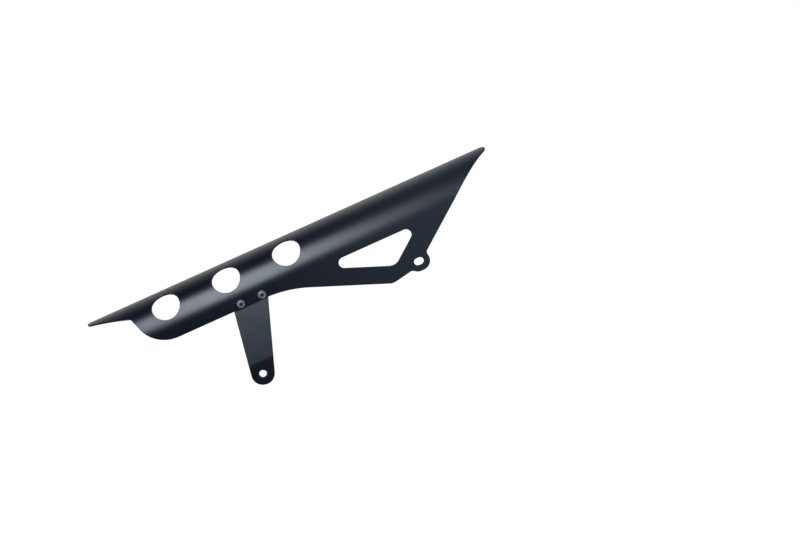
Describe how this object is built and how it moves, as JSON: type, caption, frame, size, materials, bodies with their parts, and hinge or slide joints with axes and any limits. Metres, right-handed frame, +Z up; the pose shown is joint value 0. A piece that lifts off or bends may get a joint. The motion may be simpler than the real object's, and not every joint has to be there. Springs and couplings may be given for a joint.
{
  "type": "motorcycle chain guard",
  "caption": "Sheet-metal chain guard: a quarter-round roll with round holes over a flat side plate with a window and slotted rear tab, screwed to a joggled strap bracket with a bolt hole.",
  "frame": {"origin": "centre of the bracket's bolt hole, on the back face that seats against the swingarm", "axes": "+X along the guard towards the rear wheel, -Y outwards from the swingarm along the bolt, +Z up"},
  "size_m": [0.4792, 0.0436, 0.1356],
  "materials": {
    "anodised_shell": "black anodised, satin",
    "painted_bracket": "black paint, satin",
    "stainless_screws": "bright stainless",
    "stainless_washers": "stamped stainless",
    "stainless_nuts": "bright stainless",
    "nylon_inserts": "moulded nylon"
  },
  "bodies": {
    "root": {"guard_shell": "anodised_shell", "mount_bracket": "painted_bracket", "bracket_screws": "stainless_screws", "screw_washers": "stainless_washers", "lock_nuts": "stainless_nuts", "nut_inserts": "nylon_inserts"}
  },
  "joints": []
}
